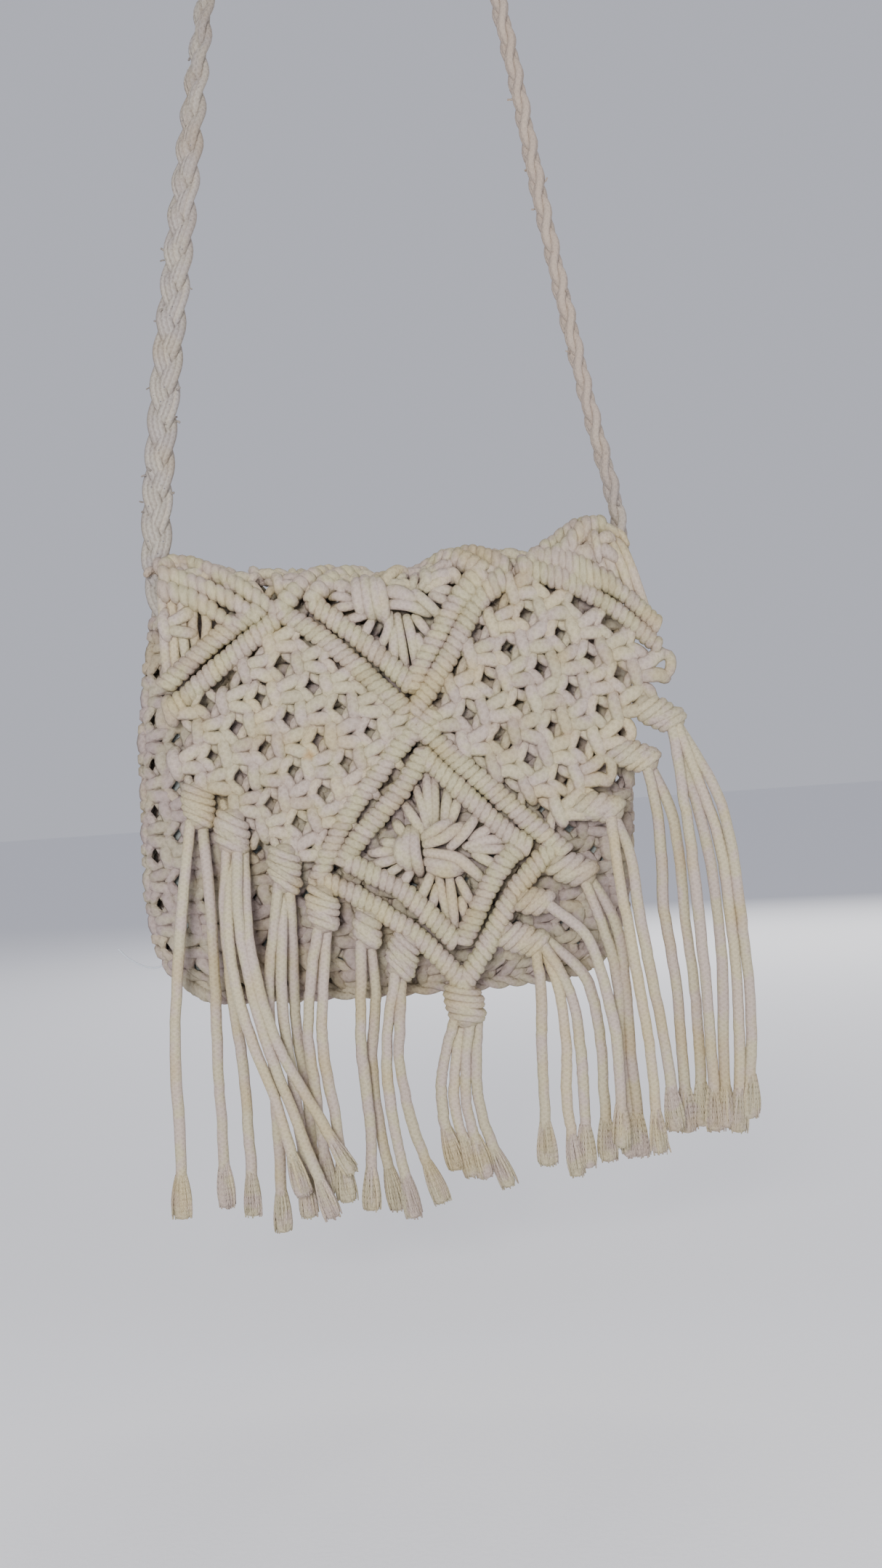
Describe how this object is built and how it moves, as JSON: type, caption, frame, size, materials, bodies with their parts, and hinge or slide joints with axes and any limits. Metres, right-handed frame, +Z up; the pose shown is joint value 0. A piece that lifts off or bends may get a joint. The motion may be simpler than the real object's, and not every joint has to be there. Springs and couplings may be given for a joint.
{
  "type": "crossbody bag",
  "caption": "Small knotted cotton crossbody bag with a pointed fold-over flap of bars and star knots, a long fringe along its edge and a braided strap.",
  "frame": {"origin": "where the peg carries the strap, at the underside of its top bend", "axes": "+Z up along the hanging strap, +X to the viewer's right across the bag, -Y towards the viewer, out of the flap's front"},
  "size_m": [0.2304, 0.0483, 0.761],
  "materials": {
    "cream_cotton": "matt cream cotton cord, a little yellowed",
    "strap_cotton": "matt cotton braid with grey pilling",
    "lining_cloth": "plain grey-green woven lining"
  },
  "bodies": {
    "root": {"pouch": "cream_cotton", "lining": "lining_cloth", "flap": "cream_cotton", "star_knot_lower": "cream_cotton", "star_knot_upper": "cream_cotton", "star_knot_left": "cream_cotton", "star_knot_right": "cream_cotton", "tassel_01": "cream_cotton", "tassel_02": "cream_cotton", "tassel_03": "cream_cotton", "tassel_04": "cream_cotton", "tassel_05": "cream_cotton", "tassel_06": "cream_cotton", "tassel_07": "cream_cotton", "tassel_08": "cream_cotton", "tassel_09": "cream_cotton", "tassel_10": "cream_cotton", "tassel_11": "cream_cotton", "tassel_12": "cream_cotton", "tassel_13": "cream_cotton", "strap": "strap_cotton"}
  },
  "joints": []
}
